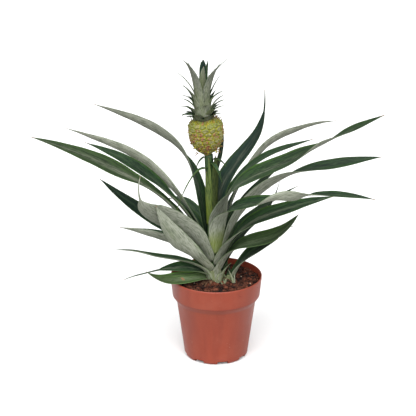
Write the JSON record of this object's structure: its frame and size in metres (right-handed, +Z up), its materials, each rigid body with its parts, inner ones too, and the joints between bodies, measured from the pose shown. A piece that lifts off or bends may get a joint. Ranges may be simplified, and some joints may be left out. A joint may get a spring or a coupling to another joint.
{
  "type": "potted pineapple plant",
  "caption": "Young ornamental pineapple plant in a terracotta-coloured nursery pot, with arching strap leaves and a small crowned fruit on a stalk.",
  "frame": {"origin": "the middle of the pot's flat underside, on the surface that it stands on", "axes": "+Z up, +X to the right and -Y towards the side that is usually looked at, where most of the long leaves and the fruit show"},
  "size_m": [0.4371, 0.3316, 0.4138],
  "materials": {
    "pot": "satin",
    "soil": "matte",
    "stem": "satin",
    "fruit": "satin",
    "crown": "satin",
    "leaf": "satin"
  },
  "bodies": {
    "root": {"pot": "pot", "soil": "soil", "stem": "stem", "pup_stem": "stem", "fruit": "fruit", "crown": "crown", "leaf_01": "leaf", "leaf_02": "leaf", "leaf_03": "leaf", "leaf_04": "leaf", "leaf_05": "leaf", "leaf_06": "leaf", "leaf_07": "leaf", "leaf_08": "leaf", "leaf_09": "leaf", "leaf_10": "leaf", "leaf_11": "leaf", "leaf_12": "leaf", "leaf_13": "leaf", "leaf_14": "leaf", "leaf_15": "leaf", "leaf_16": "leaf", "leaf_17": "leaf", "leaf_18": "leaf", "leaf_19": "leaf", "leaf_20": "leaf", "leaf_21": "leaf", "leaf_22": "leaf", "leaf_23": "leaf", "leaf_24": "leaf", "leaf_25": "leaf", "leaf_26": "leaf", "stalk_leaf_01": "leaf", "stalk_leaf_02": "leaf", "stalk_leaf_03": "leaf", "stalk_leaf_04": "leaf", "stalk_leaf_05": "leaf", "stalk_leaf_06": "leaf", "stalk_leaf_07": "leaf", "pup_leaf_01": "leaf", "pup_leaf_02": "leaf"}
  },
  "joints": []
}
